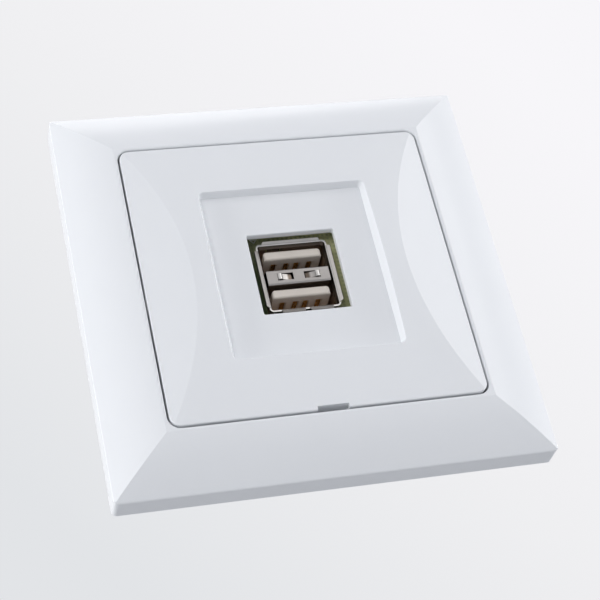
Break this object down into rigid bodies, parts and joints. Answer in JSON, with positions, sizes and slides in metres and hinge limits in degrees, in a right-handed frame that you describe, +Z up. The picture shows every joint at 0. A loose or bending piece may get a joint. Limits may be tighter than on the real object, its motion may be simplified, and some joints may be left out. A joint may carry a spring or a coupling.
{
  "type": "usb wall socket",
  "caption": "Flush wall socket with stacked charging ports behind a square plate in a bevelled frame, with spreading claws and screw terminals.",
  "frame": {"origin": "centre of the wall box's two screws, on the wall's surface", "axes": "+X to the right, +Y into the wall, +Z up; the socket's front faces -Y"},
  "size_m": [0.082, 0.037, 0.082],
  "materials": {
    "cover_white": "glossy moulded thermoplastic",
    "housing_grey": "matt moulded thermoplastic",
    "terminal_plastic": "matt moulded thermoplastic",
    "ring_steel": "galvanised sheet",
    "claw_steel": "zinc-plated",
    "screw_steel": "zinc-plated",
    "shell_steel": "tin-plated sheet",
    "tongue_plastic": "moulded polyamide",
    "contact_brass": "gold-plated",
    "board_green": "solder-masked board",
    "ferrite": "sintered ferrite",
    "winding_tape": "polyester tape",
    "can_sleeve": "shrunk sleeve",
    "film_box": "moulded box",
    "disc_blue": "dipped resin",
    "resistor_body": "lacquered body",
    "chip_black": "moulded epoxy",
    "terminal_brass": "nickel-plated brass"
  },
  "bodies": {
    "socket": {"bridge_rectifier": "chip_black", "bulk_capacitors": "can_sleeve", "centre_plate": "cover_white", "charge_controller": "chip_black", "choke": "ferrite", "claw_pin_left": "screw_steel", "claw_pin_right": "screw_steel", "connector_divider": "shell_steel", "connector_insulator": "tongue_plastic", "connector_shell": "shell_steel", "contacts_lower": "contact_brass", "contacts_upper": "contact_brass", "filter_capacitor": "film_box", "front_board": "board_green", "fuse_resistor": "resistor_body", "housing_back": "housing_grey", "housing_front": "housing_grey", "housing_screws": "screw_steel", "link_pins": "contact_brass", "link_spacer": "chip_black", "mounting_ring": "ring_steel", "optocoupler": "chip_black", "outer_frame": "cover_white", "output_capacitors": "can_sleeve", "power_board": "board_green", "safety_capacitor": "disc_blue", "terminal_bar_live": "terminal_brass", "terminal_bar_neutral": "terminal_brass", "terminal_block": "terminal_plastic", "transformer_core": "ferrite", "transformer_winding": "winding_tape"},
    "claw_right": {"claw_right": "claw_steel"},
    "claw_screw_right": {"claw_screw_right": "screw_steel"},
    "claw_left": {"claw_left": "claw_steel"},
    "claw_screw_left": {"claw_screw_left": "screw_steel"},
    "terminal_cage_live": {"terminal_cage_live": "terminal_brass"},
    "terminal_screw_live": {"terminal_screw_live": "screw_steel"},
    "terminal_cage_neutral": {"terminal_cage_neutral": "terminal_brass"},
    "terminal_screw_neutral": {"terminal_screw_neutral": "screw_steel"}
  },
  "joints": [
    {"name": "claw_screw_right_turn", "type": "hinge", "parent": "socket", "child": "claw_screw_right", "pos_m": [0.0243, -0.0012, 0], "axis": [0, 1, 0], "range_deg": [0, 990]},
    {"name": "claw_right_spread", "type": "hinge", "parent": "socket", "child": "claw_right", "pos_m": [0.02075, 0.008, 0], "axis": [0, 0, -1], "range_deg": [0, 25]},
    {"name": "claw_screw_left_turn", "type": "hinge", "parent": "socket", "child": "claw_screw_left", "pos_m": [-0.0243, -0.0012, 0], "axis": [0, 1, 0], "range_deg": [0, 990]},
    {"name": "claw_left_spread", "type": "hinge", "parent": "socket", "child": "claw_left", "pos_m": [-0.02075, 0.008, 0], "axis": [0, 0, 1], "range_deg": [0, 25]},
    {"name": "terminal_screw_live_turn", "type": "hinge", "parent": "socket", "child": "terminal_screw_live", "pos_m": [-0.0042, 0.0228, -0.0152], "axis": [0, -1, 0], "range_deg": [0, 1296]},
    {"name": "terminal_cage_live_slide", "type": "slide", "parent": "socket", "child": "terminal_cage_live", "axis": [0, 1, 0], "range_m": [0, 0.0018]},
    {"name": "terminal_screw_neutral_turn", "type": "hinge", "parent": "socket", "child": "terminal_screw_neutral", "pos_m": [0.0042, 0.0228, -0.0152], "axis": [0, -1, 0], "range_deg": [0, 1296]},
    {"name": "terminal_cage_neutral_slide", "type": "slide", "parent": "socket", "child": "terminal_cage_neutral", "axis": [0, 1, 0], "range_m": [0, 0.0018]}
  ],
  "couplings": [
    {"joint": "claw_screw_right_turn", "follows": "claw_right_spread", "ratio": 39.6},
    {"joint": "claw_screw_left_turn", "follows": "claw_left_spread", "ratio": 39.6},
    {"joint": "terminal_screw_live_turn", "follows": "terminal_cage_live_slide", "rad_per_m": 12566},
    {"joint": "terminal_screw_neutral_turn", "follows": "terminal_cage_neutral_slide", "rad_per_m": 12566}
  ]
}
